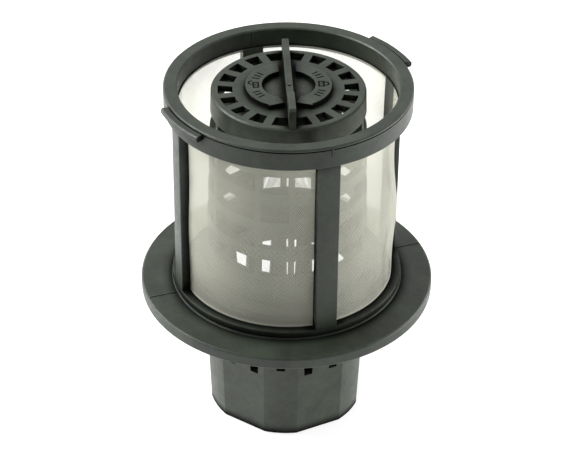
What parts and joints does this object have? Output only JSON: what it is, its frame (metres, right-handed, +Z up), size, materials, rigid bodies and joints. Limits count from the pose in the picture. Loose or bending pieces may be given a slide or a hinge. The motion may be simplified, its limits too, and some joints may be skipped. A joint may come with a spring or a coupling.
{
  "type": "dishwasher filter",
  "caption": "Twist-lock cylindrical dishwasher filter: mesh sleeve in a ribbed flanged frame round a windowed coarse strainer with a blade handle and faceted cup.",
  "frame": {"origin": "centre of the whole part's plan, on the underside of the cup, on which it stands", "axes": "+Z up along the common axis of frame and strainer; the frame's four ribs stand on the X and Y axes; stored locked"},
  "size_m": [0.115, 0.115, 0.1509],
  "materials": {
    "frame_plastic": "satin moulded",
    "nylon_mesh": "fine translucent weave",
    "strainer_plastic": "satin moulded",
    "cup_plastic": "satin moulded"
  },
  "bodies": {
    "outer_filter": {"filter_frame": "frame_plastic", "mesh_sleeve": "nylon_mesh"},
    "strainer": {"strainer_body": "strainer_plastic", "strainer_cup": "cup_plastic"}
  },
  "joints": [
    {"name": "strainer_turn", "type": "hinge", "parent": "outer_filter", "child": "strainer", "pos_m": [0, 0, 0.06], "axis": [0, 0, 1], "range_deg": [0, 30]}
  ]
}
